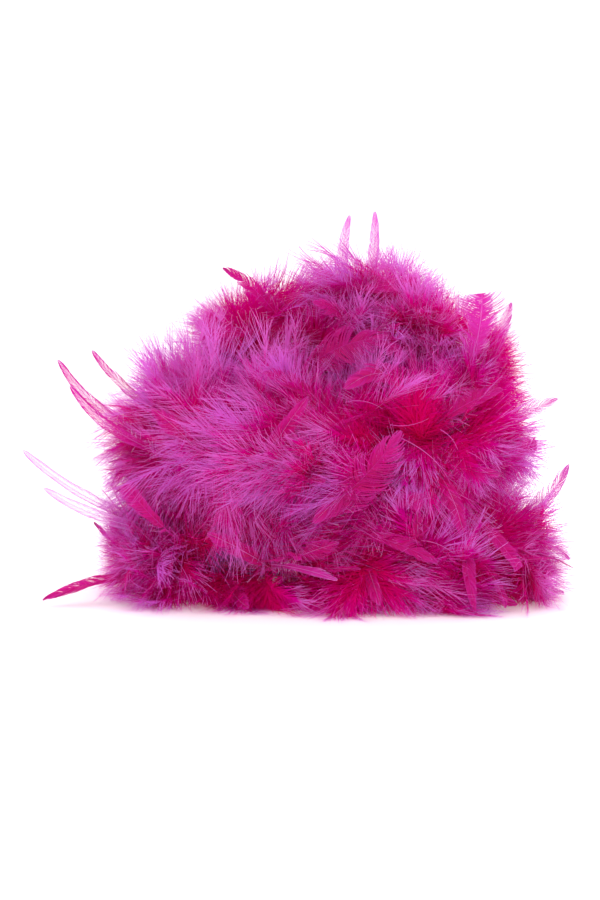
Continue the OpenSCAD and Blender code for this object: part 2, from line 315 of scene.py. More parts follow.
QUILL = (0.80, 0.20, 0.66)
down_material = feather_material(
    "magenta_down",
    # v from BARB_V up: the dark crimson roots are painted depth shade, the pale lilac tips painted
    # light
    along_stops=[
        (0.0, QUILL),
        (0.06, QUILL),
        (0.09, (0.78, 0.0, 0.17)),
        (0.35, (0.87, 0.0, 0.235)),
        (0.6, (0.87, 0.0, 0.29)),
        (0.89, (0.83, 0.002, 0.46)),
        (1.0, (0.86, 0.26, 0.88)),
    ],
    tint_stops=[
        (0.0, (0.85, 0.7, 0.92)),
        (0.25, (0.97, 0.8, 0.87)),
        (0.5, (1.0, 0.9, 0.92)),
        (0.75, (0.88, 1.0, 1.0)),
        (1.0, (1.0, 1.0, 0.94)),
    ],
    roughness=0.8,
    specular=0.02,
    sheen=0.04,
    sheen_tint=(0.9, 0.3, 0.95),
    through=0.55,
)
blade_material = feather_material(
    "magenta_blade",
    # pale feathers take the palest end, near v = 1; at the outline it is painted backlight
    along_stops=[
        (0.0, QUILL),
        (0.06, QUILL),
        (0.09, (0.62, 0.0, 0.16)),
        (0.4, (0.72, 0.004, 0.32)),
        (0.68, (0.77, 0.04, 0.50)),
        (0.84, (0.84, 0.27, 0.78)),
        (1.0, (0.95, 0.70, 0.96)),
    ],
    tint_stops=[
        (0.0, (0.82, 0.6, 0.9)),
        (0.3, (1.0, 0.9, 0.92)),
        (0.55, (0.95, 0.7, 0.85)),
        (0.8, (0.95, 1.0, 1.0)),
        (1.0, (1.0, 1.0, 1.0)),
    ],
    roughness=0.42,
    specular=0.2,
    sheen=0.08,
    sheen_tint=(1.0, 0.6, 0.95),
    through=0.5,
)
cord_material = yarn_material("magenta_cord", (0.30, 0.0, 0.08), (0.62, 0.01, 0.22), 900, 0.75)
thread_material = yarn_material("magenta_thread", (0.26, 0.0, 0.08), (0.50, 0.01, 0.20), 1500, 0.45)


# ---- the core cord ------------------------------------------------------------------------

PLIES = 3
PLY_SIDES = 8
PLY_R = 1.35 * MM
PLY_OFFSET = 1.6 * MM
PLY_PITCH = 18 * MM
RING_STEP = 2.25 * MM
CAP_R = 0.4  # radius of a ply's end on the colour map


def sides_of(points):
    """Two directions square to a line of points, at each of them."""
    along = unit(np.gradient(points, axis=0))
    side = carried_sides(along)
    return side, np.cross(along, side)


def twisted_cord(name, low, high):
    """Three plies of yarn laid round each other along the route, from station low to high."""
    rings = int(math.ceil((high - low) / RING_STEP)) + 1
    station = np.linspace(low, high, rings)
    centre, _, side, other = route.at(station)
    turn = 2 * np.pi * station / PLY_PITCH
    round_about = 2 * np.pi * np.arange(PLY_SIDES) / PLY_SIDES
    verts, faces, uvs = [], [], []
    for ply in range(PLIES):
        a = (turn + 2 * np.pi * ply / PLIES)[:, None]
        line = centre + PLY_OFFSET * (np.cos(a) * side + np.sin(a) * other)
        ply_side, ply_other = sides_of(line)
        ring = np.cos(round_about)[:, None] * ply_side[:, None]
        ring = ring + np.sin(round_about)[:, None] * ply_other[:, None]
        start = len(verts)
        verts.extend((line[:, None] + PLY_R * ring).reshape(-1, 3).tolist())
        for r in range(rings - 1):
            for i in range(PLY_SIDES):
                j = (i + 1) % PLY_SIDES
                a0, b0 = start + r * PLY_SIDES + i, start + r * PLY_SIDES + j
                faces.append((a0, b0, b0 + PLY_SIDES, a0 + PLY_SIDES))
                u0, u1 = (ply + i / PLY_SIDES) / PLIES, (ply + (i + 1) / PLY_SIDES) / PLIES
                v0, v1 = r / (rings - 1), (r + 1) / (rings - 1)
                uvs.extend([(u0, v0), (u1, v0), (u1, v1), (u0, v1)])
        last = start + (rings - 1) * PLY_SIDES
        for cap in (range(start, start + PLY_SIDES)[::-1], range(last, last + PLY_SIDES)):
            faces.append(tuple(cap))
            for b in round_about:
                uvs.append(((ply + 0.5 + CAP_R * math.cos(b)) / PLIES, 0.5 + CAP_R * math.sin(b)))
    mesh = bpy.data.meshes.new(name)
    mesh.from_pydata(verts, [], faces)
    mesh.polygons.foreach_set("use_smooth", [True] * len(faces))
    mesh.uv_layers.new(name=COLOUR_MAP).data.foreach_set("uv", np.array(uvs).ravel())
    mesh.materials.append(cord_material)
    piece = bpy.data.objects.new(name, mesh)
    bpy.context.collection.objects.link(piece)
    return piece


def add_cords():
    base, top = route.station_of(BASE_HINGE), route.station_of(TOP_HINGE)
    for name, body, node, low, high in (
        ("twisted_cord", "heap", "core_cord", base + HINGE_GAP, top - HINGE_GAP),
        ("twisted_cord_base_end", "base_end", "core_cord_base_end", 0.0, base - HINGE_GAP),
        ("twisted_cord_top_end", "top_end", "core_cord_top_end", top + HINGE_GAP, route.length),
    ):
        piece = twisted_cord(name, low, high)
        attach(piece, body)
        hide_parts(node)


# the CAD's own meshes that stay in view
KEPT_NODES = [
    (cord_material, ("base_knot", "top_knot", "base_hanging_loop", "top_hanging_loop")),
    (thread_material, ("base_thread_binding", "top_thread_binding")),
]

add_cords()
for material, nodes in KEPT_NODES:
    for node in nodes:
        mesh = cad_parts[node].data
        mesh.materials.clear()
        mesh.materials.append(material)


# ---- meshes from many ribbons -----------------------------------------------------------

FLOOR_CLEAR = 0.4 * MM
FLOOR_LAYERS = 7  # ribbons that would pass the floor come to rest at one of these small heights
FLOOR_RISE = 5  # the highest layer stands this many clearances over the lowest
TINT_HALF = 0.004  # half of what a ribbon covers on u
DOWNWARD = np.array([0.0, 0.0, -1.0])


class Ribbons:
    """Collects rows of points as flat ribbons, and makes one mesh of them all."""

    def __init__(self):
        self.points, self.faces, self.uvs, self.count = [], [], [], 0

    def add(self, middle, across, u, v):
        """middle and across are (ribbons, rings, 3); u is (ribbons,) and v (ribbons, rings)."""
        ribbons, rings, _ = middle.shape
        pair = np.stack([middle - across, middle + across], axis=2)
        layer = np.arange(ribbons) % FLOOR_LAYERS
        settled = FLOOR_CLEAR * (1 + FLOOR_RISE * layer / (FLOOR_LAYERS - 1))[:, None, None]
        pair[..., 2] = np.maximum(pair[..., 2], settled)
        start = self.count + np.arange(ribbons)[:, None] * rings * 2 + np.arange(rings - 1)[None] * 2
        quads = np.stack([start, start + 1, start + 3, start + 2], axis=-1).reshape(-1, 4)
        low, high = v[:, :-1], v[:, 1:]
        left = np.broadcast_to((u - TINT_HALF)[:, None], low.shape)
        right = np.broadcast_to((u + TINT_HALF)[:, None], low.shape)
        corners = np.stack([left, low, right, low, right, high, left, high], axis=-1)
        self.points.append(pair.reshape(-1, 3))
        self.faces.append(quads)
        self.uvs.append(corners.reshape(-1, 2))
        self.count += ribbons * rings * 2

    def make(self, name, material):
        """The object that holds all the ribbons added so far."""
        points = np.concatenate(self.points).astype(np.float32)
        faces = np.concatenate(self.faces).astype(np.int32)
        uvs = np.clip(np.concatenate(self.uvs), 0.002, 0.998).astype(np.float32)
        mesh = bpy.data.meshes.new(name)
        mesh.vertices.add(len(points))
        mesh.vertices.foreach_set("co", points.ravel())
        mesh.loops.add(faces.size)
        mesh.loops.foreach_set("vertex_index", faces.ravel())
        mesh.polygons.add(len(faces))
        mesh.polygons.foreach_set("loop_start", np.arange(0, faces.size, 4, dtype=np.int32))
        mesh.polygons.foreach_set("use_smooth", np.ones(len(faces), bool))
        mesh.update(calc_edges=True)
        layer = mesh.uv_layers.new(name=COLOUR_MAP)
        layer.data.foreach_set("uv", uvs.ravel())
        mesh.materials.append(material)
        mesh.validate()
        piece = bpy.data.objects.new(name, mesh)
        bpy.context.collection.objects.link(piece)
        return piece


def random_units(rng, *shape):
    return unit(rng.normal(size=(*shape, 3)))


def bent(start, direction, length, curl, t):
    """Points at shares t along strands that start along direction and bend by curl."""
    t = t[None, :, None]
    away = t * direction[:, None] + 0.5 * t * t * curl[:, None]
    return start[:, None] + length[:, None, None] * away


# ---- down -------------------------------------------------------------------------------

TUFTS = 44  # for each stretch of down that shows
BURIED_TUFTS = 22
PLUMES_IN_TUFT = 6
BARBS = 70  # for each plume
BARB_RINGS = 5
UNDER_PLUMES = 60  # short ones that hide the cord
UNDER_BARBS = 36
UNDER_RINGS = 4
END_PLUMES = 60  # extra ones that cover the knot at a free end
QUILL_RINGS = 7
# lengths in mm
PLUME_LENGTH = (58, 82)
BARB_LENGTH = (24, 34)
UNDER_LENGTH = (24, 38)
UNDER_BARB_LENGTH = (20, 26)
END_LENGTH = (46, 70)
END_BARB_LENGTH = (24, 32)
PLUME_ROOT = 2.5  # how far from the middle of the cord a plume starts
FLOW_DEPTH = 40  # how far out from the cord the field that plumes lean with is read
BARB_HALF, BARB_TAPER = 0.31, 0.21  # half width at the root, and how much of it is lost at the tip
QUILL_HALF, QUILL_TAPER = 0.5, 0.36
# how a plume's barbs stand
FIRST_BARB = 0.2  # share of the plume's length where they begin
BARB_CROWDING = 0.8  # under 1, they stand closer towards the tip
SPREAD, SPREAD_CLOSING = 78, 60  # angle to the quill in degrees, and what it loses towards the tip
FACING_OUT = 0.62  # share of the tufts that face away from the heap's middle
PALE_QUILLS = 0.1  # share of the plumes whose quill shows pale
LAID_OUT = 60 * MM  # distance from its root at which a long plume's barbs are palest, with the most painted light
SHORT_PLUME = 46 * MM  # the same for a short one
BARB_V_SPAN = 0.88  # what the barbs of a plume cover on v, from BARB_V on
ANY_TINT = (0.05, 0.95)

# the first seed of each kind of random draw
FLOW_SEED = 7
DOWN_SEED = 1000
BLADE_SEED = 2000
STRAY_SEED = 3000
LYING_SEED = 4000

FIELD = np.random.default_rng(FLOW_SEED)
WAVE_COUNT = 6
WAVE_LENGTH = (90, 170)  # mm
WAVES = random_units(FIELD, WAVE_COUNT) * 2 * np.pi
WAVES = WAVES / (FIELD.uniform(*WAVE_LENGTH, (WAVE_COUNT, 1)) * MM)
WAVE_PUSH = random_units(FIELD, WAVE_COUNT)
WAVE_PHASE = FIELD.uniform(0, 2 * np.pi, WAVE_COUNT)


def flow_at(points):
    """A smooth field of directions, so that neighbouring tufts lean much the same way."""
    return np.sin(points @ WAVES.T + WAVE_PHASE) @ WAVE_PUSH


# the heap's outline seen from the front, in mm: height, and how far it reaches left and right
OUTLINE = [
    (0, -148, 206), (60, -152, 208), (100, -158, 202), (130, -168, 184), (165, -156, 161),
    (195, -118, 141), (225, -68, 130), (245, -50, 118), (262, -40, 98), (278, 10, 66), (300, 24, 34),
]
OUTLINE_MARGIN = 9 * MM
FRONT, BACK = -146 * MM, 140 * MM
SHORTEN = 0.9
SHORTEN_STEPS = 10


def outline_at(z):
    """How far the outline reaches to the left and to the right at a height."""
    height, left, right = np.array(OUTLINE, float).T * MM
    return np.interp(z, height, left), np.interp(z, height, right)


def kept_inside(root, start, bend, length):
    """Shortens the plumes whose tips would pass the heap's outline, front or back."""
    length = length.copy()
    for _ in range(SHORTEN_STEPS):
        tip = root + length[:, None] * (start + 0.5 * bend)
        left, right = outline_at(tip[:, 2])
        past_side = (tip[:, 0] < left + OUTLINE_MARGIN) | (tip[:, 0] > right - OUTLINE_MARGIN)
        past_depth = (tip[:, 1] < FRONT) | (tip[:, 1] > BACK)
        length[past_side | past_depth] *= SHORTEN
    return length


def add_plumes(ribbons, rng, root, start, bend, length, facing, barb_length, tint, barbs, rings):
    """Soft plumes, each a thin curved quill with long barbs that fan out flat on both sides."""
    count = len(root)
    length = kept_inside(root, start, bend, length)

    # where each barb leaves its quill, and the way it starts
    share = FIRST_BARB + (1 - FIRST_BARB) * ((np.arange(barbs) + 0.5) / barbs) ** BARB_CROWDING
    share = np.clip(share[None] + rng.normal(0, 0.008, (count, barbs)), 0.1, 1)
    spot = root[:, None] + length[:, None, None] * (
        share[..., None] * start[:, None] + 0.5 * share[..., None] ** 2 * bend[:, None]
    )
    heading = unit(start[:, None] + share[..., None] * bend[:, None])
    normal = squared(facing[:, None] + np.zeros_like(heading), heading)
    across = np.cross(heading, normal)
    sign = np.where(np.arange(barbs) % 2 == 0, 1.0, -1.0)
    roll = rng.normal(0, 0.45, (count, 1)) + rng.normal(0, 0.22, share.shape)
    aside = (np.cos(roll) * sign)[..., None] * across + np.sin(roll)[..., None] * normal
    spread = np.radians(SPREAD - SPREAD_CLOSING * share + rng.normal(0, 6, share.shape))[..., None]
    direction = np.cos(spread) * heading + np.sin(spread) * aside

    # the barbs, longest in the middle of the plume, each with its own sweep
    n = count * barbs
    size = barb_length[:, None] * (0.5 + 0.5 * np.sin(np.pi * np.minimum(0.15 + share * 0.8, 1)))
    size = (size * rng.uniform(0.75, 1.15, share.shape)).reshape(n)
    sweep = 0.6 * heading + 0.45 * random_units(rng, count)[:, None]
    sweep = sweep + 0.42 * random_units(rng, count, barbs)
    curl = (sweep + 0.12 * DOWNWARD).reshape(n, 3)
    t = np.linspace(0, 1, rings)
    middle = bent(spot.reshape(n, 3), direction.reshape(n, 3), size, curl, t)
    tangent = unit(np.gradient(middle, axis=1))
    turned = normal.reshape(n, 3) + 0.45 * random_units(rng, n)
    half = (BARB_HALF - BARB_TAPER * t) * MM
    side = unit(np.cross(tangent, turned[:, None])) * half[None, :, None]

    # painted shade and light: dark crimson near the plume's root, deep in the down, paler with the
    # distance from it and towards each barb's tip, up to lilac tips of painted light
    painted_light_reach = np.repeat(np.clip(length, SHORT_PLUME, LAID_OUT), barbs)
    from_root = middle - np.repeat(root, barbs, axis=0)[:, None]
    away = np.linalg.norm(from_root, axis=-1) / painted_light_reach[:, None]
    random_paleness = np.repeat(rng.uniform(0.72, 1.16, count), barbs)[:, None]
    shade = np.clip((0.72 * away**1.5 + 0.28 * t[None] ** 1.4) * random_paleness, 0, 1)
    ribbons.add(middle, side, np.repeat(tint, barbs), BARB_V + BARB_V_SPAN * shade)

    # the quills
    t = np.linspace(0, 1, QUILL_RINGS)
    middle = bent(root, start, length, bend, t)
    tangent = unit(np.gradient(middle, axis=1))
    half = (QUILL_HALF - QUILL_TAPER * t) * MM
    side = unit(np.cross(tangent, facing[:, None])) * half[None, :, None]
    pale = rng.uniform(0, 1, count) < PALE_QUILLS
    # quills that are not pale take the barbs' colours, darker near the root with painted depth shade
    shade = np.where(pale[:, None], QUILL_V + 0.02 * t, BARB_V + 0.1 + 0.6 * t)
    ribbons.add(middle, side, tint, shade)


def tufts_of(k, rng):
    """Where the tufts of a stretch sit on the cord, and the way each of them faces."""
    tufts = BURIED_TUFTS if k in BURIED else TUFTS
    low = route.station_of(STRETCHES[k - 1]) + 2 * MM
    high = route.station_of(STRETCHES[k]) - 2 * MM
    station = low + (high - low) * (np.arange(tufts) + rng.uniform(0, 1, tufts)) / tufts
    centre, along, side, other = route.at(station)
    angle = rng.uniform(0, 2 * np.pi, tufts)[:, None]
    around = np.cos(angle) * side + np.sin(angle) * other
    outer = unit(outward_at(centre, along) + 0.85 * around)
    facing = np.where((rng.uniform(0, 1, tufts) < FACING_OUT)[:, None], outer, around)
    return centre, along, facing


# how far the plumes of some stretches stand out, against the others
REACH = {13: 0.78, 14: 1.12}

# where long plumes fill a hollow between two turns, for each stretch: route point, direction and
# length in mm
FILLS = {
    3: [(6.4, (-1.0, -0.3, 0.7), 60), (7.4, (-1.0, -0.4, 0.6), 60)],
    10: [(28.6, (0.2, -0.9, 0.6), 80)],
    11: [
        (29.8, (0.2, -0.5, 1.0), 96),
        (30.8, (0.1, -0.1, 1.0), 92),
        (31.6, (0.2, 0.2, 1.0), 92),
        (30.6, (-1.0, -0.2, -0.6), 66),
        (31.4, (-1.0, -0.5, -0.6), 66),
    ],
    12: [(32.4, (0.3, 0.3, 1.0), 88), (33.6, (0.2, 0.5, 0.9), 84), (34.6, (0.2, 0.6, 0.9), 80)],
    13: [(35.6, (-0.4, 0.4, 1.0), 70), (37.4, (-0.9, -0.5, -0.3), 80), (37.6, (0.0, -0.9, 0.4), 66)],
    14: [
        (38.4, (-0.1, -0.9, 0.5), 66),
        (38.6, (0.0, -0.7, -0.8), 78),
        (39.4, (0.0, -0.6, -0.8), 78),
        (40.2, (-0.3, -0.6, -0.8), 80),
        (40.6, (-0.6, -0.7, -0.3), 84),
    ],
}
FILL_PLUMES = 26


def down_stretch(k):
    """The down of one stretch: tufts of plumes, short plumes under them, and its fills."""
    rng = np.random.default_rng(DOWN_SEED + k)
    centre, along, facing = tufts_of(k, rng)
    tufts = len(centre)
    lean = np.radians(rng.normal(0, 20, tufts))[:, None]
    start = np.cos(lean) * facing + np.sin(lean) * along
    reach = rng.uniform(*PLUME_LENGTH, tufts) * MM * REACH.get(k, 1)
    flow = flow_at(centre + facing * FLOW_DEPTH * MM) + 0.7 * random_units(rng, tufts)
    flow = squared(flow, facing)
    bend = -0.62 * facing + rng.uniform(0.9, 2.1, (tufts, 1)) * flow + 0.12 * DOWNWARD
    tint = rng.uniform(0.04, 0.96, tufts)

    def spread(values):
        return np.repeat(values, PLUMES_IN_TUFT, axis=0)

    count = tufts * PLUMES_IN_TUFT
    ribbons = Ribbons()
    root = spread(centre + facing * PLUME_ROOT * MM)
    root = root + spread(along) * rng.normal(0, 4, (count, 1)) * MM
    add_plumes(
        ribbons, rng, root,
        start=unit(spread(start) + 0.2 * random_units(rng, count)),
        bend=spread(bend) + 0.4 * random_units(rng, count),
        length=spread(reach) * rng.uniform(0.72, 1.08, count),
        facing=spread(facing),
        barb_length=rng.uniform(*BARB_LENGTH, count) * MM,
        tint=np.clip(spread(tint) + rng.normal(0, 0.04, count), 0.02, 0.98),
        barbs=BARBS,
        rings=BARB_RINGS,
    )

    pick = rng.integers(0, tufts, UNDER_PLUMES)
    angle = rng.uniform(0, 2 * np.pi, UNDER_PLUMES)[:, None]
    bare = facing[pick]
    around = np.cos(angle) * bare + np.sin(angle) * np.cross(along[pick], bare)
    add_plumes(
        ribbons, rng, centre[pick] + around * PLUME_ROOT * MM,
        start=unit(around + 0.5 * random_units(rng, UNDER_PLUMES)),
        bend=0.6 * random_units(rng, UNDER_PLUMES),
        length=rng.uniform(*UNDER_LENGTH, UNDER_PLUMES) * MM,
        facing=random_units(rng, UNDER_PLUMES),
        barb_length=rng.uniform(*UNDER_BARB_LENGTH, UNDER_PLUMES) * MM,
        tint=rng.uniform(*ANY_TINT, UNDER_PLUMES),
        barbs=UNDER_BARBS,
        rings=UNDER_RINGS,
    )
    if k in (BASE_STRETCH, TOP_STRETCH):
        add_end_plumes(ribbons, rng, k == TOP_STRETCH)
    for point, direction, length in FILLS.get(k, []):
        add_fill(ribbons, rng, point, np.array(direction, float), length * MM)
    return ribbons


def add_fill(ribbons, rng, point, direction, length):
    """A sheaf of long plumes from one place on the cord that fills the hollow beside it."""
    station = route.station_of(point) + rng.normal(0, 15, FILL_PLUMES) * MM
    centre, along, _, _ = route.at(np.clip(station, 0, route.length))
    rooted = squared(direction + 0.35 * random_units(rng, FILL_PLUMES), along)
    add_plumes(
        ribbons, rng, centre + rooted * PLUME_ROOT * MM,
        start=unit(unit(direction) + 0.6 * random_units(rng, FILL_PLUMES)),
        bend=0.7 * random_units(rng, FILL_PLUMES),
        length=length * rng.uniform(0.6, 1.0, FILL_PLUMES),
        facing=squared(
            outward_at(centre, along) + 0.5 * random_units(rng, FILL_PLUMES), unit(direction)
        ),
        barb_length=rng.uniform(*BARB_LENGTH, FILL_PLUMES) * MM,
        tint=rng.uniform(*ANY_TINT, FILL_PLUMES),
        barbs=BARBS,
        rings=BARB_RINGS,
    )


def add_end_plumes(ribbons, rng, top):
    """Plumes rooted on the last of the cord that lean out over the knot and hide it."""
    offset = rng.uniform(2, 30, END_PLUMES) * MM
    centre, along, side, other = route.at(route.length - offset if top else offset)
    outwards = along if top else -along
    angle = rng.uniform(0, 2 * np.pi, END_PLUMES)[:, None]
    around = np.cos(angle) * side + np.sin(angle) * other
    tilt = rng.uniform(0.4, 1.5, (END_PLUMES, 1))
    add_plumes(
        ribbons, rng, centre + around * 3 * MM,
        start=unit(around + tilt * outwards),
        bend=0.5 * around + 0.4 * random_units(rng, END_PLUMES) + 0.25 * DOWNWARD,
        length=rng.uniform(*END_LENGTH, END_PLUMES) * MM,
        facing=around,
        barb_length=rng.uniform(*END_BARB_LENGTH, END_PLUMES) * MM,
        tint=rng.uniform(*ANY_TINT, END_PLUMES),
        barbs=BARBS,
        rings=BARB_RINGS,
    )


def body_of_stretch(k):
    if k == BASE_STRETCH:
        return "base_end"
    return "top_end" if k == TOP_STRETCH else "heap"


for k in range(1, STRETCH_COUNT + 1):
    piece = down_stretch(k).make(f"down_{k:02d}", down_material)
    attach(piece, body_of_stretch(k))
    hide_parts(f"down_stretch_{k:02d}")


# ---- bladed feathers ---------------------------------------------------------------------

# as in the CAD, with lengths in mm
BLADE_L = 76
BLADE_W = 17
BLADE_T = 1.4
BLADES_OUTSIDE = 5
BLADES_INSIDE = 3
BURIED_LENGTH = 0.55
BURIED_REACH = 0.34
OUTSIDE_REACH = 0.79
QUILL_SHARE = 0.18
ROOT_STANDOFF = 0.5
ROOTED_SHARE = 0.7
FIRST_ROOT = 0.06
FAN_ANGLE = math.radians(34)
TIP_FLOOR = 6
BOW_SHARE = 0.16
NARROWING = 0.08

# only for the looks
VANE_BARBS = 64  # on each side of a quill
VANE_RINGS = 5
SPLIT_CHANCE = 0.12  # that a vane splits before a barb
BARB_SLANT = 0.17  # how far along the feather a barb's end lies past its foot
WIDE_VANE, NARROW_VANE = 1.12, 0.8  # the vanes on the two sides of a quill differ in width
VANE_BELLY = 0.12  # how far a barb bellies out, as a share of its length
FLUFF_BARBS = 26
FLUFF_WIDTH = 15
BARE_WIDTH = 4.5  # a feather narrower than this has only its quill left
BLADE_QUILL_RINGS = 14
BLADE_QUILL_HALF, BLADE_QUILL_TAPER = 0.34, 0.22
BLADE_QUILL_LIFT = 0.25
BLADE_QUILL_TINT = 0.9
EXTRA_BLADES = 4  # more feathers of the same kind that lie on each stretch that shows
EXTRA_ROOT = (12, 24)  # how far its root is from the cord, and its tip, and how far the tip leans
EXTRA_TIP = (42, 51)
EXTRA_LEAN = (34, 58)
EXTRA_BOW = (8, 14)
EXTRA_FAN = 1.3
EXTRA_WIDTH = (9, 17)
BLUNT_CHANCE = 0.25
# how pale a blade that stands out past the down is, as painted backlight from the white behind it, and
# how close its barbs
BACKLIT_LOOK = (0.65, 0.4)
PLAIN_LOOK = (0.0, 1.0)


def curve_point(root, tip, bow, t):
    """A feather's middle line, at shares t of its length."""
    t = np.asarray(t)[..., None]
    return (1 - t) ** 2 * root + 2 * t * (1 - t) * ((root + tip) / 2 + bow) + t**2 * tip


def curve_slope(root, tip, bow, t):
    """The direction of that line."""
    t = np.asarray(t)[..., None]
    return (1 - t) * ((tip - root) / 2 + bow) + t * ((tip - root) / 2 - bow)


def vane_half(width, t, blunt):
    """Half the width of a feather: pointed as the CAD's blades are, or blunt."""
    v = np.clip((t - QUILL_SHARE) / (1 - QUILL_SHARE), 0, 1)
    if blunt:
        shape = np.minimum(1, 1.9 * v) ** 0.7
    else:
        shape = np.maximum(np.sin(np.pi * v**1.2), 0) ** 0.7
    return (BLADE_T / 2 + (width - BLADE_T) / 2 * shape) * MM


def blade_sides(curve, facing, t):
    """The way across a feather and the way out of its face, at shares t of its length."""
    d = unit(curve_slope(*curve, t))
    side = unit(np.cross(d, facing))
    return side, np.cross(side, d)


def add_quill(ribbons, curve, facing, pale):
    """Two crossed ribbons along the middle line."""
    t = np.linspace(0, 1, BLADE_QUILL_RINGS)
    side, out = blade_sides(curve, facing, t)
    middle = curve_point(*curve, t) + out * BLADE_QUILL_LIFT * MM
    half = ((BLADE_QUILL_HALF - BLADE_QUILL_TAPER * t) * MM)[:, None]
    shade = QUILL_V + 0.02 * t if pale == 0 else BARB_V + 0.5 + 0.3 * pale + 0.05 * t
    tint = np.array([BLADE_QUILL_TINT])
    for direction in (side, out):
        ribbons.add(middle[None], (direction * half)[None], tint, shade[None])


def feather(ribbons, rng, root, tip, bow, width, facing, blunt=False, pale=0.0, close=1.0):
    """One bladed feather: a quill, two vanes of close barbs with splits, and fluff at its foot.

    pale, from 0 to 1, fades its colour towards pale lilac, which stands for painted backlight where
    the feather stands at the outline, and close scales the width of its barbs.
    """
    curve = [np.array(v, float) for v in (root, tip, bow)]
    facing = np.array(facing, float)
    add_quill(ribbons, curve, facing, pale)
    if width < BARE_WIDTH:
        return
    wide_side = 1 if rng.uniform() < 0.5 else -1
    for sign in (1, -1):
        scale = WIDE_VANE if sign == wide_side else NARROW_VANE
        add_vane(ribbons, rng, curve, facing, sign, width, scale, blunt, pale, close)
    add_fluff(ribbons, rng, curve, facing, width, pale)


def add_vane(ribbons, rng, curve, facing, sign, width, scale, blunt, pale, close):
    """The barbs on one side of a feather, in bunches that splits part from each other."""
    root, tip, _ = curve
    step = np.arange(VANE_BARBS)
    along_barb = np.linspace(0, 1, VANE_RINGS)
    gap = np.linalg.norm(tip - root) * (1 - QUILL_SHARE) / VANE_BARBS

    # where the barbs start and end along the feather, and how far out they end
    bunch = np.cumsum(rng.uniform(0, 1, VANE_BARBS) < SPLIT_CHANCE)
    t0 = QUILL_SHARE + (1 - QUILL_SHARE) * (step + 0.5) / VANE_BARBS
    t1 = t0 + BARB_SLANT * (1 - 0.3 * t0) + rng.normal(0, 0.02, VANE_BARBS)[bunch]
    t1 = t1 + rng.normal(0, 0.006, VANE_BARBS)
    beyond = np.maximum(t1 - 1, 0)
    t1 = np.minimum(t1, 1)
    half = vane_half(width, t1, blunt) * rng.uniform(0.62, 1.05, VANE_BARBS)[bunch]
    half = half * rng.uniform(0.84, 1.08, VANE_BARBS) * scale
    if blunt:
        half = half * (1 - 0.8 * beyond / 0.13)
    foot = curve_point(*curve, t0)
    side, out = blade_sides(curve, facing, t1)
    lift = rng.normal(0, 0.16, VANE_BARBS)[bunch] + rng.normal(0, 0.05, VANE_BARBS) - 0.12
    end = curve_point(*curve, t1) + sign * side * half[:, None] + out * (lift * half)[:, None]

    # the barbs themselves, which belly out on the way to their ends
    t = along_barb[None, :, None]
    belly = VANE_BELLY * np.linalg.norm(end - foot, axis=-1)[:, None] * (sign * side + 0.6 * out)
    middle = foot[:, None] * (1 - t) + end[:, None] * t + 4 * t * (1 - t) * belly[:, None]
    tangent = unit(np.gradient(middle, axis=1))
    turned = out[:, None] + 0.5 * random_units(rng, VANE_BARBS)[:, None]
    taper = 1 - 0.7 * along_barb**1.5
    half = (0.36 * gap * taper + 0.05 * MM)[None, :, None]
    across = unit(np.cross(tangent, turned)) * close * half

    # streaks of other tints along the vane, paler to the tip and the edge
    streak = 0.5 + 0.4 * np.sin(2 * np.pi * (3 * step / VANE_BARBS + rng.uniform()))
    streak = np.clip(streak + rng.normal(0, 0.12, VANE_BARBS), 0.03, 0.97)
    streak = streak * (1 - pale) + pale * 0.95
    shade = 0.30 * t0[:, None] + 0.42 * along_barb[None] ** 1.5
    shade = shade + rng.normal(0, 0.07, (VANE_BARBS, 1))
    shade = np.clip(shade * (1 - pale) + pale * (0.82 + 0.18 * along_barb[None]), 0, 1)
    ribbons.add(middle, across, streak, BARB_V + 0.86 * shade)


def add_fluff(ribbons, rng, curve, facing, width, pale):
    """Loose soft barbs round the foot of a feather."""
    along_barb = np.linspace(0, 1, VANE_RINGS)
    t0 = rng.uniform(0.04, QUILL_SHARE + 0.2, FLUFF_BARBS)
    foot = curve_point(*curve, t0)
    d = unit(curve_slope(*curve, t0))
    sign = np.where(rng.uniform(0, 1, FLUFF_BARBS) < 0.5, 1, -1)[:, None]
    side = unit(np.cross(d, facing)) * sign
    size = rng.uniform(0.5, 1.1, FLUFF_BARBS) * min(width, FLUFF_WIDTH) * MM
    start = unit(side + 0.6 * d + 0.3 * random_units(rng, FLUFF_BARBS))
    middle = bent(foot, start, size, 0.8 * random_units(rng, FLUFF_BARBS), along_barb)
    tangent = unit(np.gradient(middle, axis=1))
    across = unit(np.cross(tangent, facing)) * ((0.3 - 0.2 * along_barb) * MM)[None, :, None]
    shade = BARB_V + np.clip(0.3 + 0.5 * along_barb + 0.3 * pale, 0, 0.88)
    tint = rng.uniform(0.1, 0.9, FLUFF_BARBS)
    ribbons.add(middle, across, tint, np.tile(shade, (FLUFF_BARBS, 1)))


def at_route_point(u):
    """The cord's middle, its direction and the outward direction at a route point."""
    station = np.interp(u * FINE, np.arange(len(route.station)), route.station)
    centre, along, _, _ = route.at(np.array([station]))
    return centre[0], along[0], outward_at(centre, along)[0]


def passes_outline(tip):
    """Whether a tip shows at the left or right of the heap's outline, seen from the front."""
    left, right = outline_at(tip[2])
    return not left < tip[0] < right


def fanned(angle, d, out):
    """The direction out, turned about the cord by an angle."""
    return math.cos(angle) * out + math.sin(angle) * np.cross(d, out)


def bladed_feathers(k):
    """The feathers of one stretch: the CAD's, and more that lie on the down where it shows."""
    rng = np.random.default_rng(BLADE_SEED + k)
    ribbons = Ribbons()
    add_rooted_blades(ribbons, rng, k)
    if k not in BURIED:
        add_lying_blades(ribbons, rng, k)
    return ribbons


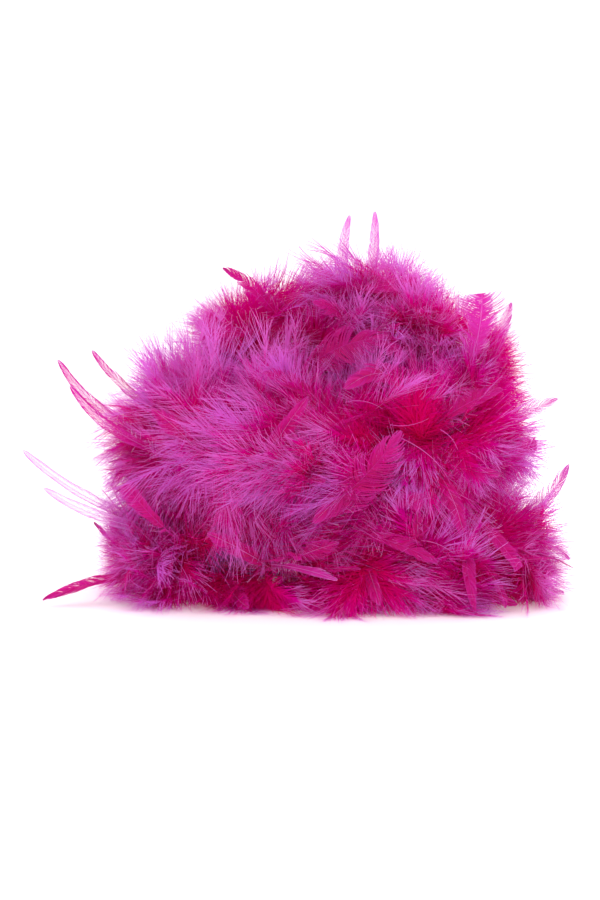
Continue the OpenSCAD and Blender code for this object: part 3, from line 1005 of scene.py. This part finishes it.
def add_rooted_blades(ribbons, rng, k):
    """The CAD's blades of one stretch, rooted on the cord and fanned to both sides."""
    buried = k in BURIED
    count = BLADES_INSIDE if buried else BLADES_OUTSIDE
    length = BLADE_L * (BURIED_LENGTH if buried else 1) * MM
    reach = BLADE_L * (BURIED_REACH if buried else OUTSIDE_REACH) * MM
    lean = math.sqrt(length**2 - reach**2) * (-1 if k == BASE_STRETCH else 1)
    span = STRETCHES[k] - STRETCHES[k - 1]
    first = STRETCHES[k - 1] + (1 - ROOTED_SHARE if k == BASE_STRETCH else FIRST_ROOT) * span
    for i in range(count):
        centre, d, out = at_route_point(first + ROOTED_SHARE * span * i / count)
        n = fanned(FAN_ANGLE * (1 if i % 2 == 0 else -1) * (1 - i / (2 * count)), d, out)
        root = centre + n * (CORD_D / 2 + BLADE_T / 2 + ROOT_STANDOFF) * MM
        tip = centre + lean * d + reach * n
        tip[2] = max(TIP_FLOOR * MM, tip[2])
        bow = n * reach * BOW_SHARE
        width = BLADE_W * (1 - NARROWING * i)
        facing = unit(np.cross(n, d) + 0.5 * n)
        pale, close = BACKLIT_LOOK if passes_outline(tip) else PLAIN_LOOK
        feather(ribbons, rng, root, tip, bow, width, facing, pale=pale, close=close)


def add_lying_blades(ribbons, rng, k):
    """More blades, which lie on the down of a stretch and lean with it."""
    span = STRETCHES[k] - STRETCHES[k - 1]
    for i in range(EXTRA_BLADES):
        point = STRETCHES[k - 1] + span * (i + rng.uniform(0.1, 0.9)) / EXTRA_BLADES
        centre, d, out = at_route_point(point)
        n = fanned(rng.uniform(-EXTRA_FAN, EXTRA_FAN), d, out)
        flow = flow_at(centre + n * FLOW_DEPTH * MM) + 0.9 * random_units(rng)
        flow = squared(flow, n)
        root = centre + n * rng.uniform(*EXTRA_ROOT) * MM
        tip = centre + n * rng.uniform(*EXTRA_TIP) * MM * REACH.get(k, 1)
        tip = tip + flow * rng.uniform(*EXTRA_LEAN) * MM
        tip[2] = max(TIP_FLOOR * MM, tip[2])
        bow = n * rng.uniform(*EXTRA_BOW) * MM
        width = rng.uniform(*EXTRA_WIDTH)
        facing = unit(n + 0.5 * random_units(rng))
        blunt = rng.uniform() < BLUNT_CHANCE
        feather(ribbons, rng, root, tip, bow, width, facing, blunt)


for k in range(1, STRETCH_COUNT + 1):
    piece = bladed_feathers(k).make(f"blades_{k:02d}", blade_material)
    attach(piece, body_of_stretch(k))
    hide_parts(f"bladed_feathers_{k:02d}")


# single feathers that give the heap its outline, as in the CAD, in mm: root, tip, bow, vane width
# and facing
STRAYS = {
    "left_spike_feathers": [
        ((-100, -28, 118), (-187, -52, 190), (-14, 0, -16), 9, (0, -1, 0.2)),
        ((-96, -14, 136), (-163, -26, 196), (-12, 0, -4), 8, (0, -1, 0.2)),
        ((-90, -62, 112), (-174, -84, 172), (-16, 0, -12), 8, (0, -1, 0.2)),
    ],
    "left_wisp_feathers": [
        ((-104, -16, 52), (-219, -30, 116), (-8, 0, -18), 8, (0, -1, 0.4)),
        ((-92, -54, 52), (-196, -84, 92), (-6, 0, -14), 9, (0, -1, 0.4)),
    ],
    "low_left_feather": [((-84, -76, 24), (-196, -98, 6), (-10, -6, 12), 15, (0, -0.5, 1))],
    "crown_feathers": [
        ((38, -4, 214), (44, -14, 304), (-8, 0, 0), 10, (0, -1, 0)),
        ((52, -6, 214), (64, -18, 307), (8, 0, 2), 10, (0, -1, 0)),
    ],
    "upper_left_feather": [((-6, -10, 212), (-57, -46, 262), (0, -8, 14), 15, (0, -1, 0.6))],
    "fan_feather": [((138, -46, 176), (146, -64, 243), (8, -6, 0), 36, (0, -1, 0.2))],
    "right_quill_feather": [((126, -62, 112), (178, -84, 152), (18, 0, -12), 4, (0, -1, 0))],
    "right_tuft_feathers": [
        ((158, -34, 42), (219, -42, 106), (10, 0, -12), 15, (0, -1, 0)),
        ((156, -58, 34), (216, -74, 34), (14, 0, 22), 14, (0, -1, 0)),
    ],
    "front_blade_feathers": [
        ((84, -90, 120), (14, -136, 72), (0, -26, 14), 22, (0, -1, 0)),
        ((106, -62, 156), (38, -120, 172), (0, -12, 36), 20, (0, -1, 0.3)),
        ((104, -94, 116), (128, -136, 62), (4, -26, 8), 15, (0, -1, 0)),
    ],
    "front_low_feathers": [
        ((-2, -92, 28), (2, -154, 46), (0, 0, 18), 15, (0.2, -0.3, 1)),
        ((136, -90, 40), (160, -132, 6), (6, -6, 12), 14, (0.6, -0.4, 1)),
    ],
    "back_stray_feathers": [
        ((30, 94, 34), (22, 150, 62), (0, 0, 16), 16, (0.2, 0, 1)),
        ((-34, 90, 120), (-64, 146, 150), (0, 4, 12), 16, (-0.2, 0, 1)),
    ],
}
STRAYS_ON_TOP_END = ("crown_feathers", "upper_left_feather")
BLUNT_STRAYS = ("fan_feather",)
# how pale some of them are, painted backlight through these thin feathers at the outline, and how
# close their barbs; the others keep their full colour
STRAY_LOOKS = {
    "left_spike_feathers": (0.45, 0.4),
    "left_wisp_feathers": (0.95, 0.25),
    "low_left_feather": (0.1, 1.0),
    "crown_feathers": (0.85, 0.45),
    "fan_feather": (0.6, 0.8),
    "right_quill_feather": (0.3, 0.5),
    "right_tuft_feathers": (0.7, 0.5),
    "upper_left_feather": (0.1, 0.9),
}


def stray_feathers(name):
    """The feathers of one of the CAD's stray nodes."""
    rng = np.random.default_rng(STRAY_SEED + len(name) + sum(map(ord, name)))
    ribbons = Ribbons()
    pale, close = STRAY_LOOKS.get(name, PLAIN_LOOK)
    for root, tip, bow, width, facing in STRAYS[name]:
        places = [np.array(v) * MM for v in (root, tip, bow)]
        feather(ribbons, rng, *places, width, facing, name in BLUNT_STRAYS, pale, close)
    return ribbons


for name in STRAYS:
    piece = stray_feathers(name).make(f"{name}_barbs", blade_material)
    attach(piece, "top_end" if name in STRAYS_ON_TOP_END else "heap")
    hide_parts(name)


# ---- more feathers that lie on the heap --------------------------------------------------

# for each piece its body, and the root, tip, bow, width, facing, bluntness and paleness of each
LYING = {
    "front_lying_feathers": ("heap", [
        ((-2, -112, 62), (80, -140, 142), (6, -18, -10), 38, (0.2, -1, 0.1), False, 0.12),
        ((-36, -112, 84), (10, -140, 168), (-10, -14, 0), 17, (0.4, -1, 0), False, 0.0),
        ((128, -106, 82), (136, -144, 6), (-4, -12, 0), 11, (-0.5, -1, 0), False, 0.15),
        ((136, -108, 76), (170, -132, 36), (2, -12, 4), 13, (0.2, -1, 0.4), True, 0.1),
        ((-18, -122, 38), (32, -146, 30), (0, -6, 5), 7, (0, -1, 0.5), False, 0.6),
        ((-92, -104, 56), (-130, -108, 98), (-6, -14, 4), 13, (-0.3, -1, 0.3), True, 0.1),
        ((-62, -106, 108), (-110, -102, 156), (2, -14, 8), 16, (-0.5, -1, 0.1), False, 0.0),
        ((44, -112, 62), (108, -140, 42), (0, -12, 8), 16, (0, -1, 0.5), False, 0.1),
        ((108, -92, 142), (160, -96, 170), (-4, -12, 6), 16, (0.3, -1, 0.4), False, 0.1),
        ((142, -88, 98), (188, -84, 126), (0, -12, 8), 15, (0.6, -1, 0), True, 0.2),
        ((26, -92, 156), (-24, -108, 184), (0, -14, 8), 18, (0, -1, 0.6), False, 0.05),
        ((-14, -112, 30), (-66, -136, 64), (0, -10, 6), 15, (0.2, -1, 0.1), False, 0.0),
        ((60, -104, 96), (96, -138, 84), (0, -14, 4), 18, (-0.2, -1, 0.3), True, 0.1),
        ((134, -70, 182), (144, -88, 243), (6, -12, 2), 34, (0, -1, 0.3), True, 0.6),
    ]),
    "upper_lying_feathers": ("top_end", [
        ((-6, -44, 166), (72, -74, 208), (-8, -18, 22), 36, (0, -1, 0.4), False, 0.08),
        ((52, -60, 214), (82, -84, 190), (8, -4, 10), 18, (0.2, -1, 0.2), False, 0.15),
        ((36, -20, 236), (96, -44, 250), (0, -8, 8), 17, (0, -1, 0.7), True, 0.2),
        ((-30, -24, 206), (-74, -58, 206), (-2, -8, 12), 16, (-0.2, -1, 0.4), False, 0.1),
        ((52, -34, 214), (14, -58, 236), (0, -10, 8), 14, (0, -1, 0.4), False, 0.1),
    ]),
    # quills that have lost their barbs, narrower than BARE_WIDTH
    "loose_quills": ("heap", [
        ((72, -132, 146), (100, -145, 152), (0, -4, -5), 2, (0, -1, 0), False, 0.35),
        ((80, -132, 136), (114, -146, 108), (7, -4, 4), 2, (0, -1, 0), False, 0.5),
        ((110, -130, 142), (122, -142, 128), (3, -4, 3), 2, (0, -1, 0), False, 0.4),
        ((132, -120, 124), (146, -132, 112), (3, -4, 3), 2, (0, -1, 0), False, 0.3),
        ((-152, -64, 88), (-116, -106, 38), (4, -10, 8), 2, (-0.5, -1, 0), False, 0.4),
        ((-144, -68, 92), (-104, -114, 50), (-4, -10, -6), 2, (-0.5, -1, 0), False, 0.3),
        ((-28, -130, 96), (-26, -146, 68), (-7, -3, 0), 2, (0, -1, 0), False, 0.7),
        ((96, -132, 58), (120, -146, 50), (0, -4, 5), 2, (0, -1, 0), False, 0.5),
        ((-118, -60, 170), (-112, -78, 146), (6, -4, 0), 2, (0, -1, 0), False, 0.2),
        ((38, -122, 162), (66, -132, 158), (0, -3, 7), 2, (0, -1, 0), False, 0.4),
    ]),
}

for name, (body, feathers) in LYING.items():
    rng = np.random.default_rng(LYING_SEED + len(name))
    ribbons = Ribbons()
    for root, tip, bow, width, facing, blunt, pale in feathers:
        places = [np.array(v) * MM for v in (root, tip, bow)]
        feather(ribbons, rng, *places, width, facing, blunt, pale)
    piece = ribbons.make(name, blade_material)
    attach(piece, body)
